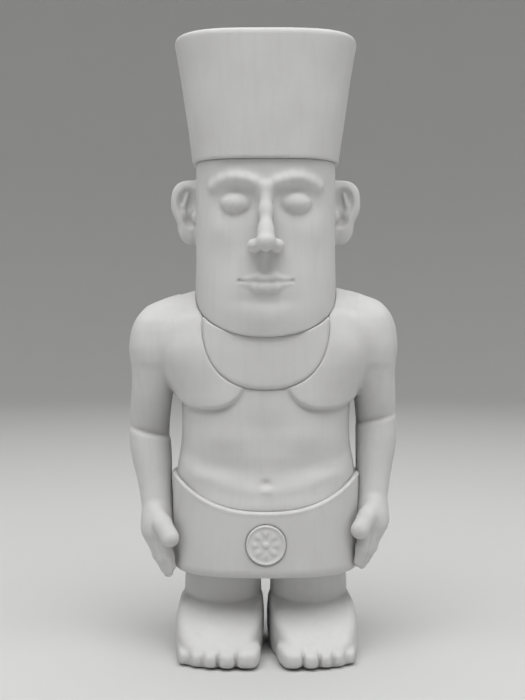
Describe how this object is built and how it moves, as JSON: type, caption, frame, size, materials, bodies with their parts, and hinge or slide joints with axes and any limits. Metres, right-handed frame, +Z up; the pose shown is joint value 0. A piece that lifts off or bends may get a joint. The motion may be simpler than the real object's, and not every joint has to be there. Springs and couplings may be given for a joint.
{
  "type": "carved tiki figure",
  "caption": "Standing carved tiki figure in a short wrap, with a head that lifts out of its seat and a tall flared hat that lifts off the head.",
  "frame": {"origin": "centre of the bounding box on the surface that the feet rest on", "axes": "+Z up to the top of the hat, the figure faces -Y, and its own left side is +X"},
  "size_m": [0.1348, 0.093, 0.3],
  "materials": {
    "painted_wood": "smooth matt pale grey paint over carved wood",
    "dowel_wood": "bare turned hardwood",
    "felt": "dark felt"
  },
  "bodies": {
    "base": {"torso": "painted_wood", "collar": "painted_wood", "skirt": "painted_wood", "emblem": "painted_wood", "arm_left": "painted_wood", "arm_right": "painted_wood", "leg_left": "painted_wood", "leg_right": "painted_wood", "foot_pad_left": "felt", "foot_pad_right": "felt", "neck_dowel": "dowel_wood", "shoulder_dowel_left": "dowel_wood", "shoulder_dowel_right": "dowel_wood", "leg_dowel_left": "dowel_wood", "leg_dowel_right": "dowel_wood"},
    "head": {"head": "painted_wood", "ear_left": "painted_wood", "ear_right": "painted_wood", "hat_dowel": "dowel_wood"},
    "hat": {"hat": "painted_wood"}
  },
  "joints": [
    {"name": "head_lift", "type": "slide", "parent": "base", "child": "head", "axis": [0, 0, 1], "range_m": [0, 0.036]},
    {"name": "hat_lift", "type": "slide", "parent": "head", "child": "hat", "axis": [0, 0, 1], "range_m": [0, 0.03]}
  ]
}
